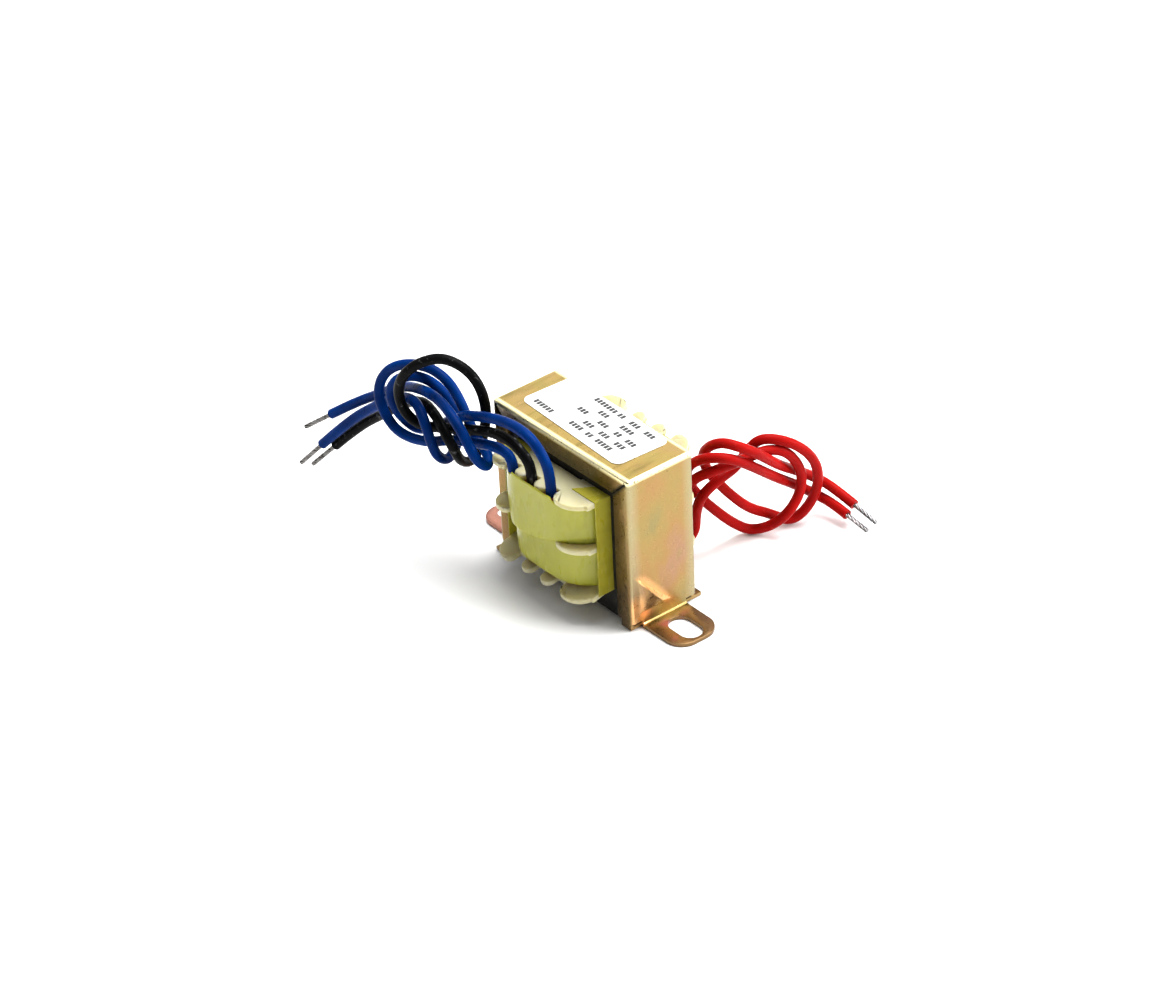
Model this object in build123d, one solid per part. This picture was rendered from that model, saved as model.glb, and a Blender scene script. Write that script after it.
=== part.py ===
"""Small chassis-mount mains transformer: laminated core in a folded steel frame with two slotted ears,
a two-chamber nylon bobbin wrapped in yellow tape, and five stranded leads tied in two overhand knots.
Millimetres. +X runs along the ears, -Y is the side of the blue and black leads, +Z is up,
and z = 0 is the underside of the ears."""
import math
import os
from build123d import *

# Laminated core
CORE_LENGTH = 35.0
CORE_HEIGHT = 29.5
YOKE = 5.0
LIMB = 4.9
TONGUE = 9.6
STACK = 13.0
SHEET_GAUGE = 0.5
SHEET_COUNT = round(STACK / SHEET_GAUGE)
SHEET = STACK / SHEET_COUNT
CORE_BASE = 0.8
WINDOW_HEIGHT = CORE_HEIGHT - 2 * YOKE
WINDOW_OUTER = CORE_LENGTH / 2 - LIMB
WINDOW_FLOOR = CORE_BASE + YOKE

# Folded steel frame
FRAME_SHEET = 0.7
FRAME_X = CORE_LENGTH / 2 + FRAME_SHEET
FRAME_Y = STACK / 2 + FRAME_SHEET
FRAME_TOP = CORE_BASE + CORE_HEIGHT + FRAME_SHEET
FOLD_RADIUS = 0.5
FLANGE_DEPTH = 4.0
LEG_BOTTOM = 1.5
MITRE_GAP = 0.35
MITRE_REACH = FLANGE_DEPTH + MITRE_GAP
MITRE_LENGTH = math.hypot(MITRE_REACH - FRAME_SHEET, MITRE_REACH - FRAME_SHEET)

# Mounting ears
EAR_WIDTH = 9.8
EAR_LENGTH = 9.8
EAR_REACH = FRAME_X + EAR_LENGTH
EAR_END_RADIUS = 3.6
EAR_BEND_INNER = 0.45
EAR_BEND_OUTER = 1.1
SLOT_WIDTH = 4.4
SLOT_LENGTH = 7.0
SLOT_DISTANCE = 5.5
HOLE_PITCH = 2 * (FRAME_X + SLOT_DISTANCE)

# Pressed stiffener above each ear: a three-sided form with a slanting ridge
PRESS_INSET = 1.0
PRESS_LOW = 2.9
PRESS_WIDTH = 8.4
PRESS_HEIGHT = 8.5
PRESS_OUT = 1.3
RIDGE_FOOT_ACROSS = 4.9
RIDGE_FOOT_UP = 1.8
RIDGE_HEAD_ACROSS = 1.9
RIDGE_HEAD_UP = 5.4
RIDGE_WIDTH = 0.5

# Crimp lugs at the foot of each flange
LUG_WIDTH = 2.6
LUG_OUT = 1.6
LUG_IN = 2.4
LUG_UNDER = 2.0
LUG_INSET = 0.5
LUG_BASE = CORE_BASE - FRAME_SHEET

# Two-chamber bobbin
BOBBIN_WALL = 0.8
BOBBIN_FIT = 0.15
BOBBIN_HEADROOM = 0.2
BOBBIN_HEIGHT = WINDOW_HEIGHT - BOBBIN_HEADROOM
CHEEK = 1.0
CHEEK_GAP = 0.3
CHEEK_X = WINDOW_OUTER - CHEEK_GAP
NOTCH_PITCH = 5.2
NOTCH_SHIFT = 1.2
NOTCH_WIDTH = 2.2
NOTCH_DEPTH = 2.4
SMALL_TAB_REACH = 7.2
WIDE_TAB_STEP = 0.2
SMALL_TAB_Y = STACK / 2 + SMALL_TAB_REACH
WIDE_TAB_Y = SMALL_TAB_Y + WIDE_TAB_STEP
NOTCH_ROOT = SMALL_TAB_Y - NOTCH_DEPTH
WIDE_TAB_START = NOTCH_PITCH + NOTCH_WIDTH / 2
OUTER_ROUNDING = 0.65
INNER_ROUNDING = 0.28
REAR_TOP_SPLAY = 21.0
FRONT_BOTTOM_SPLAY = -14.0
BOBBIN_BASE = WINDOW_FLOOR
MID_CHEEK_BASE = BOBBIN_BASE + (BOBBIN_HEIGHT - CHEEK) / 2
TOP_CHEEK_BASE = BOBBIN_BASE + BOBBIN_HEIGHT - CHEEK
BOBBIN_TOP = BOBBIN_BASE + BOBBIN_HEIGHT
TUBE_X = TONGUE / 2 + BOBBIN_FIT + BOBBIN_WALL
TUBE_Y = STACK / 2 + BOBBIN_FIT + BOBBIN_WALL

# Windings and tape
TAPE = 0.2
COIL_INSET = 0.5
COIL_X = CHEEK_X - COIL_INSET
UPPER_COIL_STEP = 0.05
LOWER_COIL_STEP = 1.5
UPPER_COIL_Y = SMALL_TAB_Y + UPPER_COIL_STEP
LOWER_COIL_Y = SMALL_TAB_Y - LOWER_COIL_STEP
COIL_RADIUS = 8.5
UPPER_TAPE_SAG = 1.4
LAP_LEFT = NOTCH_SHIFT + NOTCH_PITCH - NOTCH_WIDTH / 2
LAP_RIGHT = WIDE_TAB_START - NOTCH_SHIFT
END_TAPE = 0.15
END_TAPE_LAP = 3.2
END_TAPE_Y = STACK / 2 + END_TAPE_LAP
END_TAPE_FOLD = 6.2
END_TAPE_POINT = 2.2

# Label
LABEL_MARGIN_X = 4.4
LABEL_MARGIN_Y = 1.4
LABEL_LENGTH = 2 * (FRAME_X - LABEL_MARGIN_X)
LABEL_WIDTH = 2 * (FRAME_Y - LABEL_MARGIN_Y)
LABEL_THICKNESS = 0.12
LABEL_RADIUS = 1.6
LABEL_OFFSET_X = -0.5
LABEL_OFFSET_Y = 1.3
LABEL_TURN = -3.0

# Leads
LEAD_DIAMETER = 1.9
WIRE_DIAMETER = 0.9
FRONT_WIRE_LENGTH = 7.4
REAR_WIRE_LENGTH = 5.5
BEND_SHARE = 0.45
LEAD_SETBACK = 1.25
FRONT_RISE = 2.7
RIGHT_BLUE_RISE = 3.9
LOWER_RED_DROP = 2.4
UPPER_RED_DROP = 2.6
NOTCH_MIDDLE = SMALL_TAB_Y - LEAD_SETBACK
FRONT_ANCHOR = (0, -NOTCH_MIDDLE, TOP_CHEEK_BASE)
REAR_ANCHOR = (0, NOTCH_MIDDLE, BOBBIN_BASE + CHEEK)


def block(x0, x1, y0, y1, z0, z1):
    """A box between two corners."""
    box = Box(x1 - x0, y1 - y0, z1 - z0)
    return Pos((x0 + x1) / 2, (y0 + y1) / 2, (z0 + z1) / 2) * box


def loop(half_x, half_y, radius):
    """A rounded rectangle about the tongue."""
    return RectangleRounded(2 * half_x, 2 * half_y, radius)


def sheet_e():
    """One E-shaped sheet lying in XZ, its open side down."""
    body = Rectangle(CORE_LENGTH, CORE_HEIGHT - YOKE)
    for side in (-1, 1):
        opening = Rectangle(WINDOW_OUTER - TONGUE / 2, WINDOW_HEIGHT)
        body -= Pos(side * (WINDOW_OUTER + TONGUE / 2) / 2, -YOKE / 2) * opening
    return body


def place_sheet(face, index, flipped, height):
    """Stands a flat sheet up in the stack at its place from front to rear."""
    y = -STACK / 2 + (index + 1) * SHEET
    turn = 180 if flipped else 0
    standing = Plane(origin=(0, y, height), x_dir=(1, 0, 0), z_dir=(0, -1, 0))
    return standing * Rot(0, 0, turn) * extrude(face, SHEET)


def e_laminations():
    """E sheets, turned over one after another."""
    face = sheet_e()
    half = (CORE_HEIGHT - YOKE) / 2
    sheets = []
    for index in range(SHEET_COUNT):
        flipped = index % 2 == 1
        middle = CORE_BASE + half + (0 if flipped else YOKE)
        sheets.append(place_sheet(face, index, flipped, middle))
    return Compound(children=sheets)


def i_laminations():
    """I sheets that close the open side of each E sheet."""
    face = Rectangle(CORE_LENGTH, YOKE)
    sheets = []
    for index in range(SHEET_COUNT):
        flipped = index % 2 == 1
        middle = CORE_BASE + (CORE_HEIGHT - YOKE / 2 if flipped else YOKE / 2)
        sheets.append(place_sheet(face, index, flipped, middle))
    return Compound(children=sheets)


def frame_shell():
    """The folded strap: top plate, two legs and the flanges that clasp the core."""
    shell = block(-FRAME_X, FRAME_X, -FRAME_Y, FRAME_Y, LEG_BOTTOM, FRAME_TOP)
    foot = shell.faces().sort_by(Axis.Z)[0].edges()
    folds = [edge for edge in shell.edges() if all(not edge.is_same(low) for low in foot)]
    shell = fillet(folds, FOLD_RADIUS)
    inner_x = FRAME_X - FRAME_SHEET
    inner_y = FRAME_Y - FRAME_SHEET
    shell -= block(-inner_x, inner_x, -inner_y, inner_y, LEG_BOTTOM - YOKE, FRAME_TOP - FRAME_SHEET)
    open_x = FRAME_X - FLANGE_DEPTH
    shell -= block(-open_x, open_x, -2 * FRAME_Y, 2 * FRAME_Y, LEG_BOTTOM - YOKE, FRAME_TOP - FLANGE_DEPTH)
    return shell


def mitre_slits():
    """Diagonal gaps between the top flanges and the leg flanges."""
    slits = []
    reach = (MITRE_REACH + FRAME_SHEET) / 2
    for side_x in (-1, 1):
        for side_y in (-1, 1):
            slit = Box(MITRE_LENGTH, 2 * FRAME_SHEET, MITRE_GAP)
            place = Pos(side_x * (FRAME_X - reach), side_y * FRAME_Y, FRAME_TOP - reach)
            slits.append(place * Rot(0, -45 * side_x, 0) * slit)
    return slits


def mounting_ear():
    """The right ear with its slot, and the strip that joins it to the leg."""
    inner = FRAME_X - FRAME_SHEET
    half = EAR_WIDTH / 2
    ear = block(inner, EAR_REACH, -half, half, 0, FRAME_SHEET)
    ear += block(inner, FRAME_X, -half, half, 0, LEG_BOTTOM)
    crease = ear.edges().filter_by(Axis.Y).sort_by_distance((FRAME_X, 0, FRAME_SHEET))[0]
    ear = fillet(crease, EAR_BEND_INNER)
    heel = ear.edges().filter_by(Axis.Y).sort_by_distance((inner, 0, 0))[0]
    ear = fillet(heel, EAR_BEND_OUTER)
    tip = ear.edges().filter_by(Axis.Z).sort_by(Axis.X)[-2:]
    ear = fillet(tip, EAR_END_RADIUS)
    slot = extrude(SlotOverall(SLOT_LENGTH, SLOT_WIDTH), 4 * FRAME_SHEET, both=True)
    return ear - Pos(HOLE_PITCH / 2, 0, 0) * slot


def facing_right(x):
    """A plane that faces along +X, at the stiffener's lower front corner."""
    return Plane(origin=(x, PRESS_INSET - FRAME_Y, PRESS_LOW), x_dir=(0, 1, 0), z_dir=(1, 0, 0))


def pressed_ridge(inward):
    """The form of the stiffener from its foot to its ridge, set back by a distance."""
    foot = Polygon((0, 0), (PRESS_WIDTH, 0), (0, PRESS_HEIGHT), align=None)
    ridge = Polygon((RIDGE_FOOT_ACROSS - RIDGE_WIDTH, RIDGE_FOOT_UP), (RIDGE_FOOT_ACROSS, RIDGE_FOOT_UP),
                    (RIDGE_HEAD_ACROSS, RIDGE_HEAD_UP), align=None)
    foot_plane = facing_right(FRAME_X - FRAME_SHEET / 2 - inward)
    ridge_plane = facing_right(FRAME_X + PRESS_OUT - inward)
    return loft([foot_plane * foot, ridge_plane * ridge], ruled=True)


def lug_out():
    """The crimp lug of the right leg's rear flange, left sticking out."""
    end = FRAME_X - LUG_INSET
    drop = block(end - LUG_WIDTH, end, FRAME_Y - FRAME_SHEET, FRAME_Y, LUG_BASE, LEG_BOTTOM)
    tongue = block(end - LUG_WIDTH, end, FRAME_Y - LUG_UNDER, FRAME_Y + LUG_OUT,
                   LUG_BASE, LUG_BASE + FRAME_SHEET)
    return drop + tongue


def lug_in():
    """The crimp lug of the right leg's front flange, bent in under the core."""
    end = FRAME_X - LUG_INSET
    drop = block(end - LUG_WIDTH, end, -FRAME_Y, FRAME_SHEET - FRAME_Y, LUG_BASE, LEG_BOTTOM)
    hook = block(end - LUG_WIDTH, end, -FRAME_Y, LUG_IN - FRAME_Y, LUG_BASE, LUG_BASE + FRAME_SHEET)
    return drop + hook


def mounting_frame():
    """Frame, ears, stiffeners and lugs in one folded piece."""
    side = mounting_ear() + pressed_ridge(0) + lug_out() + lug_in()
    hollow = pressed_ridge(FRAME_SHEET)
    frame = frame_shell()
    for slit in mitre_slits():
        frame -= slit
    frame = frame + side + Rot(0, 0, 180) * side
    frame = frame - hollow - Rot(0, 0, 180) * hollow
    core_space = block(-CORE_LENGTH / 2, CORE_LENGTH / 2, -STACK / 2, STACK / 2,
                       CORE_BASE, CORE_BASE + CORE_HEIGHT)
    return frame - core_space


def wide_tab(outer, inner):
    """A wide tab at the front of a cheek, rounder at its outer corner than beside its notch."""
    width = abs(outer - inner)
    length = WIDE_TAB_Y - STACK / 2
    tab = Pos((outer + inner) / 2, length / 2 - WIDE_TAB_Y) * Rectangle(width, length)
    far_corner = tab.vertices().sort_by_distance((outer, -WIDE_TAB_Y, 0))[0]
    tab = fillet(far_corner, OUTER_ROUNDING * width)
    near_corner = tab.vertices().sort_by_distance((inner, -WIDE_TAB_Y, 0))[0]
    return fillet(near_corner, INNER_ROUNDING * width)


def front_tabs():
    """The four tabs at the front of a cheek, with three notches between them."""
    tabs = wide_tab(-CHEEK_X, -WIDE_TAB_START - NOTCH_SHIFT)
    tabs += wide_tab(CHEEK_X, WIDE_TAB_START - NOTCH_SHIFT)
    small_length = SMALL_TAB_Y - STACK / 2
    for side in (-1, 1):
        small = Rot(0, 0, 90) * SlotOverall(small_length, NOTCH_PITCH - NOTCH_WIDTH)
        tabs += Pos(side * NOTCH_PITCH / 2 - NOTCH_SHIFT, small_length / 2 - SMALL_TAB_Y) * small
    return tabs


def cheek_outline():
    """One cheek of the bobbin from above: tabs at the front, and the same turned round at the rear."""
    plate = Rectangle(2 * CHEEK_X, 2 * NOTCH_ROOT)
    return plate + front_tabs() + Rot(0, 0, 180) * front_tabs()


def bent_part(outline, side, splay):
    """The front or rear part of a cheek, bent up or down from the line where it leaves the tube."""
    reach = WIDE_TAB_Y - TUBE_Y
    zone = Pos(0, side * (TUBE_Y + reach / 2)) * Rectangle(2 * CHEEK_X, reach)
    part = extrude(outline & zone, CHEEK)
    hinge = Pos(0, side * TUBE_Y, CHEEK if splay < 0 else 0)
    return hinge * Rot(side * splay, 0, 0) * hinge.inverse() * part


def cheek(front_splay, rear_splay):
    """One cheek of the bobbin; the coil has pushed its free parts apart."""
    outline = cheek_outline()
    middle = extrude(outline & Rectangle(2 * CHEEK_X, 2 * TUBE_Y), CHEEK)
    return middle + bent_part(outline, -1, front_splay) + bent_part(outline, 1, rear_splay)


def bobbin():
    """The tube round the tongue with its three cheeks."""
    tube = extrude(Rectangle(2 * TUBE_X, 2 * TUBE_Y), BOBBIN_HEIGHT)
    body = Pos(0, 0, BOBBIN_BASE) * tube
    body += Pos(0, 0, BOBBIN_BASE) * cheek(FRONT_BOTTOM_SPLAY, 0)
    body += Pos(0, 0, MID_CHEEK_BASE) * cheek(0, 0)
    body += Pos(0, 0, TOP_CHEEK_BASE) * cheek(0, REAR_TOP_SPLAY)
    hole_x = TONGUE / 2 + BOBBIN_FIT
    hole_y = STACK / 2 + BOBBIN_FIT
    return body - block(-hole_x, hole_x, -hole_y, hole_y, 0, FRAME_TOP)


def winding(base, top, half_y):
    """Copper filling one chamber of the bobbin."""
    ring = loop(COIL_X, half_y, COIL_RADIUS) - Rectangle(2 * TUBE_X, 2 * TUBE_Y)
    return Pos(0, 0, base) * extrude(ring, top - base)


def tape_band(base, top, half_y):
    """A closed turn of tape round a winding."""
    ring = loop(COIL_X + TAPE, half_y + TAPE, COIL_RADIUS + TAPE) - loop(COIL_X, half_y, COIL_RADIUS)
    return Pos(0, 0, base) * extrude(ring, top - base)


def secondary_winding():
    """The upper chamber's copper."""
    return winding(MID_CHEEK_BASE + CHEEK, TOP_CHEEK_BASE, UPPER_COIL_Y)


def primary_winding():
    """The lower chamber's copper."""
    return winding(BOBBIN_BASE + CHEEK, MID_CHEEK_BASE, LOWER_COIL_Y)


def upper_tape_band():
    """The upper band, which also laps over the small tabs of the cheeks above and below it."""
    band = tape_band(MID_CHEEK_BASE + CHEEK, TOP_CHEEK_BASE, UPPER_COIL_Y)
    lap = tape_band(MID_CHEEK_BASE - UPPER_TAPE_SAG, BOBBIN_TOP, UPPER_COIL_Y)
    front = block(-LAP_LEFT, LAP_RIGHT, -2 * WIDE_TAB_Y, 0, 0, FRAME_TOP)
    return band + (lap & front) + (lap & (Rot(0, 0, 180) * front))


def lower_tape_band():
    """The lower band."""
    return tape_band(BOBBIN_BASE + CHEEK, MID_CHEEK_BASE, LOWER_COIL_Y)


def right_end_tape():
    """The strip over the coil's right end, its top folded on to the upper cheek."""
    outer = CHEEK_X + END_TAPE
    strip = block(CHEEK_X, outer, -END_TAPE_Y, END_TAPE_Y, BOBBIN_BASE, BOBBIN_TOP)
    inner = outer - END_TAPE_FOLD
    waist = inner + END_TAPE_POINT
    corner = STACK / 2
    flap = Polygon((outer, -END_TAPE_Y), (outer, corner), (waist, corner), (waist, -corner),
                   (inner, -END_TAPE_Y), align=None)
    return strip + Pos(0, 0, BOBBIN_TOP) * extrude(flap, END_TAPE)


def left_end_tape():
    """The same strip at the coil's left end."""
    return mirror(right_end_tape(), about=Plane.YZ)


def label():
    """The blank sticker on the top plate, a little askew, its rear edge bent over the frame's fold."""
    outline = extrude(RectangleRounded(LABEL_LENGTH, LABEL_WIDTH, LABEL_RADIUS), FRAME_TOP, both=True)
    outline = Pos(LABEL_OFFSET_X, LABEL_OFFSET_Y, FRAME_TOP) * Rot(0, 0, LABEL_TURN) * outline
    fold_y = FRAME_Y - FOLD_RADIUS
    fold_z = FRAME_TOP - FOLD_RADIUS
    top = FRAME_TOP + LABEL_THICKNESS
    bend = Cylinder(FOLD_RADIUS + LABEL_THICKNESS, 2 * FRAME_X) - Cylinder(FOLD_RADIUS, 2 * FRAME_X)
    bend = Pos(0, fold_y, fold_z) * Rot(0, 90, 0) * bend
    bend = bend & block(-FRAME_X, FRAME_X, fold_y, 2 * FRAME_Y, fold_z, top)
    return (block(-FRAME_X, FRAME_X, -FRAME_Y, fold_y, FRAME_TOP, top) + bend) & outline


# Routes of the leads, from the middle notch of their side
LEFT_BLUE_ROUTE = [
    (-9.6, -0.7, 3.6), (-15.6, -0.7, 1.6), (-22.3, -1.0, -0.8), (-28.9, -1.9, -4.2), (-35.0, -3.3, -4.6),
    (-39.2, -3.3, -2.3), (-40.8, -3.3, 1.4), (-39.9, -2.3, 5.5), (-36.1, -1.1, 9.3), (-30.5, 0.1, 11.3),
    (-26.5, 1.3, 9.7), (-24.1, 2.1, 6.1), (-22.3, 2.4, 2.7), (-19.0, 1.8, -0.1), (-14.8, 1.1, -1.1),
    (-12.1, -1.1, -1.9), (-12.4, -3.5, 0.8), (-15.4, -3.7, 5.1), (-20.7, -3.1, 7.9), (-28.7, -1.2, 6.5),
    (-38.6, 1.1, 2.1), (-46.7, 1.0, -3.5), (-52.5, -0.5, -7.4), (-57.3, -2.5, -11.2),
]
BLACK_ROUTE = [
    (-2.0, -0.5, 5.2), (-5.9, -0.7, 6.9), (-11.8, -0.8, 5.9), (-17.9, -1.2, 3.4), (-24.3, -1.5, 0.9),
    (-28.9, -2.5, -0.4), (-31.5, -3.7, 1.0), (-32.2, -4.7, 4.3), (-31.5, -5.1, 8.1), (-29.6, -4.9, 11.9),
    (-27.4, -3.1, 14.6), (-24.1, -0.7, 16.1), (-20.6, 1.3, 14.8), (-18.0, 2.3, 11.5), (-17.2, 3.1, 6.8),
    (-19.3, 4.1, 0.6), (-21.3, 4.0, -4.3), (-21.3, 2.1, -6.4), (-20.2, -0.9, -4.5), (-18.8, -3.2, -0.5),
    (-20.3, -3.8, 2.6), (-25.1, -2.2, 3.6), (-32.3, 0.3, 2.3), (-39.6, 1.1, -2.3), (-45.6, 0.7, -7.2),
    (-50.9, -0.9, -11.4), (-55.7, -3.3, -16.9),
]
RIGHT_BLUE_ROUTE = [
    (3.0, -0.5, 7.6), (-0.5, -0.7, 10.3), (-6.6, -0.7, 10.2), (-13.9, -0.7, 7.9), (-21.1, 0.0, 4.3),
    (-28.9, 1.2, -2.0), (-33.9, 0.1, -4.9), (-36.3, -1.5, -2.6), (-36.0, -3.6, 1.6), (-36.3, -3.7, 4.8),
    (-34.3, -3.0, 7.8), (-32.4, -1.1, 8.4), (-30.8, 0.9, 7.3), (-28.9, 2.4, 4.8), (-26.3, 2.8, 2.1),
    (-25.5, 3.0, -1.8), (-25.7, 2.2, -5.6), (-24.6, -0.7, -6.5), (-24.2, -3.3, -4.1), (-24.8, -4.1, -0.2),
    (-26.1, -4.1, 3.3), (-31.0, -2.3, 4.2), (-38.3, -0.6, 0.5), (-45.1, -0.8, -4.4), (-51.3, -2.5, -9.6),
    (-57.3, -5.1, -16.6),
]
LOWER_RED_ROUTE = [
    (6.5, 2.3, -4.2), (7.3, 5.5, -2.8), (8.2, 5.3, 1.6), (9.6, 3.6, 6.7), (11.0, 5.9, 9.5),
    (10.2, 11.5, 9.5), (9.5, 14.6, 12.0), (11.6, 16.4, 16.1), (15.0, 20.2, 13.7), (15.6, 24.9, 8.0),
    (15.2, 26.6, 1.7), (13.8, 25.2, -3.5), (12.0, 22.5, -6.3), (10.4, 18.9, -3.6), (9.6, 14.9, -1.1),
    (8.8, 11.4, 2.9), (7.6, 8.8, 6.7), (6.6, 7.0, 10.4), (7.6, 5.6, 15.3), (11.8, 5.1, 19.2),
    (14.9, 6.9, 18.6), (16.0, 11.0, 15.4), (13.6, 18.5, 8.4), (11.4, 25.3, 3.0), (12.2, 29.6, -0.3),
    (15.4, 31.0, -2.0), (19.2, 31.4, -3.2),
]
UPPER_RED_ROUTE = [
    (1.4, 2.3, -4.4), (2.2, 4.9, -2.6), (3.6, 4.1, 1.8), (6.2, 2.9, 6.4), (9.2, 2.9, 10.8),
    (12.0, 4.7, 12.6), (12.6, 8.8, 12.7), (12.3, 13.0, 12.1), (12.8, 16.9, 12.2), (14.6, 20.1, 10.9),
    (14.6, 23.1, 5.5), (14.8, 22.4, 1.3), (14.8, 19.3, -1.8), (12.0, 17.4, -5.0), (9.1, 15.2, -6.2),
    (8.2, 11.8, -3.3), (7.2, 9.0, 0.0), (6.2, 6.5, 3.3), (4.6, 4.9, 6.6), (6.4, 3.3, 11.6),
    (11.0, 3.6, 15.5), (15.0, 6.5, 15.9), (15.0, 11.4, 11.9), (13.2, 18.0, 5.9), (11.8, 24.4, 0.6),
    (12.0, 29.0, -3.5), (15.8, 29.4, -3.7), (19.5, 29.3, -4.2),
]
# Each lead: side, notch, straight rise or drop out of the notch, route, length of bare wire
LEADS = {
    "left_blue": (FRONT_ANCHOR, -NOTCH_PITCH - NOTCH_SHIFT, FRONT_RISE, LEFT_BLUE_ROUTE, FRONT_WIRE_LENGTH),
    "black": (FRONT_ANCHOR, -NOTCH_SHIFT, FRONT_RISE, BLACK_ROUTE, FRONT_WIRE_LENGTH),
    "right_blue": (FRONT_ANCHOR, NOTCH_PITCH - NOTCH_SHIFT, RIGHT_BLUE_RISE, RIGHT_BLUE_ROUTE,
                   FRONT_WIRE_LENGTH),
    "lower_red": (REAR_ANCHOR, NOTCH_PITCH + NOTCH_SHIFT, -LOWER_RED_DROP, LOWER_RED_ROUTE, REAR_WIRE_LENGTH),
    "upper_red": (REAR_ANCHOR, NOTCH_SHIFT, -UPPER_RED_DROP, UPPER_RED_ROUTE, REAR_WIRE_LENGTH),
}


def lead_points(name):
    """The corner points of a lead, from inside its notch to the end of its insulation."""
    anchor, notch, rise, route, _ = LEADS[name]
    base = Vector(*anchor)
    exit_point = base + Vector(notch, 0, 0)
    return [exit_point, exit_point + Vector(0, 0, rise)] + [base + Vector(*step) for step in route]


def bend_radii(points):
    """The radius at each corner that takes the same share of its shorter run."""
    radii = []
    for before, corner, after in zip(points, points[1:], points[2:]):
        turn = math.radians((corner - before).get_angle(after - corner))
        shorter = min((corner - before).length, (after - corner).length)
        radii.append(BEND_SHARE * shorter / math.tan(turn / 2))
    return radii


def lead(name):
    """The insulated part of a lead."""
    points = lead_points(name)
    radii = bend_radii(points)
    path = FilletPolyline(*points, radius=radii)
    section = Plane(origin=points[0], z_dir=points[1] - points[0]) * Circle(LEAD_DIAMETER / 2)
    tube = sweep(section, path=path)
    ideal = math.pi * LEAD_DIAMETER ** 2 / 4 * path.length
    print(name, "length", round(path.length, 1), "least radius", round(min(radii), 2),
          "volume share", round(tube.volume / ideal, 4))
    return tube


def tinned_end(name):
    """The stripped and tinned strands at the end of a lead."""
    points = lead_points(name)
    section = Plane(origin=points[-1], z_dir=points[-1] - points[-2]) * Circle(WIRE_DIAMETER / 2)
    return extrude(section, LEADS[name][-1])


PARTS = {
    "mounting_frame": mounting_frame,
    "e_laminations": e_laminations,
    "i_laminations": i_laminations,
    "bobbin": bobbin,
    "secondary_winding": secondary_winding,
    "primary_winding": primary_winding,
    "upper_tape_band": upper_tape_band,
    "lower_tape_band": lower_tape_band,
    "right_end_tape": right_end_tape,
    "left_end_tape": left_end_tape,
    "label": label,
}


def save(name, part):
    """Writes one sub-part."""
    export_step(part, f"parts/{name}.step")
    print(name, "volume", round(part.volume, 2), "valid", part.is_valid)


if __name__ == "__main__":
    os.makedirs("parts", exist_ok=True)
    for name, make in PARTS.items():
        save(name, make())
    for name in LEADS:
        save(f"{name}_lead", lead(name))
        save(f"{name}_tinned_end", tinned_end(name))
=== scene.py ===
# %% [markdown]
# # A small mains transformer with flying leads
#
# The object is a transformer about as big as a matchbox. A folded steel frame holds a stack of
# thin iron sheets, a white nylon bobbin carries two coils wrapped in yellow film, and five
# stranded leads come off it in two tied bundles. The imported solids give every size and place,
# so this lesson only adds what the eye expects: soft edges, wound film, twisted strands and
# finishes. Everything is in metres, and sizes are written in millimetres times MM.

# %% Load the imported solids
import math
from types import SimpleNamespace

import bmesh
import bpy
from mathutils import Matrix, Vector, noise


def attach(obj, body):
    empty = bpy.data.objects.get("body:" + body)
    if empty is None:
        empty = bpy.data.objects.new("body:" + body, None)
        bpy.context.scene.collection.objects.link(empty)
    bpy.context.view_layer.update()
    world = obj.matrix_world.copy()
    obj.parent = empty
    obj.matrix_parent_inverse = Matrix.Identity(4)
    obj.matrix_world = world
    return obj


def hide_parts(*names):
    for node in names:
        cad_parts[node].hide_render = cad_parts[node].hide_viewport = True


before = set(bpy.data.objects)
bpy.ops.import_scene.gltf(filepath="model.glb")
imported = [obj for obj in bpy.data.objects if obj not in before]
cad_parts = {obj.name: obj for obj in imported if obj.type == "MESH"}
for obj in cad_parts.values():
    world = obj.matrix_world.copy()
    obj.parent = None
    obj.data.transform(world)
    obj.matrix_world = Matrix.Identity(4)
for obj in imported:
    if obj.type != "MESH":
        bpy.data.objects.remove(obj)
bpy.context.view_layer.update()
MM = 0.001


# %% [markdown]
# ## The camera
#
# The picture was taken from above the front right corner, with a long lens, so parallel edges
# stay nearly parallel. A camera can be placed by dragging it about, but here its direction,
# distance and slight roll are plain numbers, so the view can be rebuilt exactly. The three
# axes of the camera are worked out first, because a roll is easy to get wrong with angles.

# %% Place the camera
PICTURE_WIDTH = 1167
FOCAL_PIXELS = 3766.356
AZIMUTH = math.radians(51.997)
ELEVATION = math.radians(33.782)
ROLL = math.radians(-2.8)
DISTANCE = 0.658065
TARGET = Vector((-0.003163, 0.000112, 0.015))

back = Vector((math.sin(AZIMUTH) * math.cos(ELEVATION),
               -math.cos(AZIMUTH) * math.cos(ELEVATION),
               math.sin(ELEVATION)))
level_right = Vector((math.cos(AZIMUTH), math.sin(AZIMUTH), 0))
level_up = back.cross(level_right)
right = math.cos(ROLL) * level_right + math.sin(ROLL) * level_up
up = math.cos(ROLL) * level_up - math.sin(ROLL) * level_right

lens = bpy.data.cameras.new("view_lens")
lens.sensor_fit = "HORIZONTAL"
lens.sensor_width = 36
lens.lens = lens.sensor_width * FOCAL_PIXELS / PICTURE_WIDTH
camera = bpy.data.objects.new("view", lens)
camera.matrix_world = (Matrix.Translation(TARGET + back * DISTANCE)
                       @ Matrix((right, up, back)).transposed().to_4x4())
bpy.context.scene.collection.objects.link(camera)
bpy.context.scene.camera = camera
print("camera at", [round(v, 3) for v in camera.matrix_world.translation],
      "lens", round(lens.lens, 1))

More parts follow.
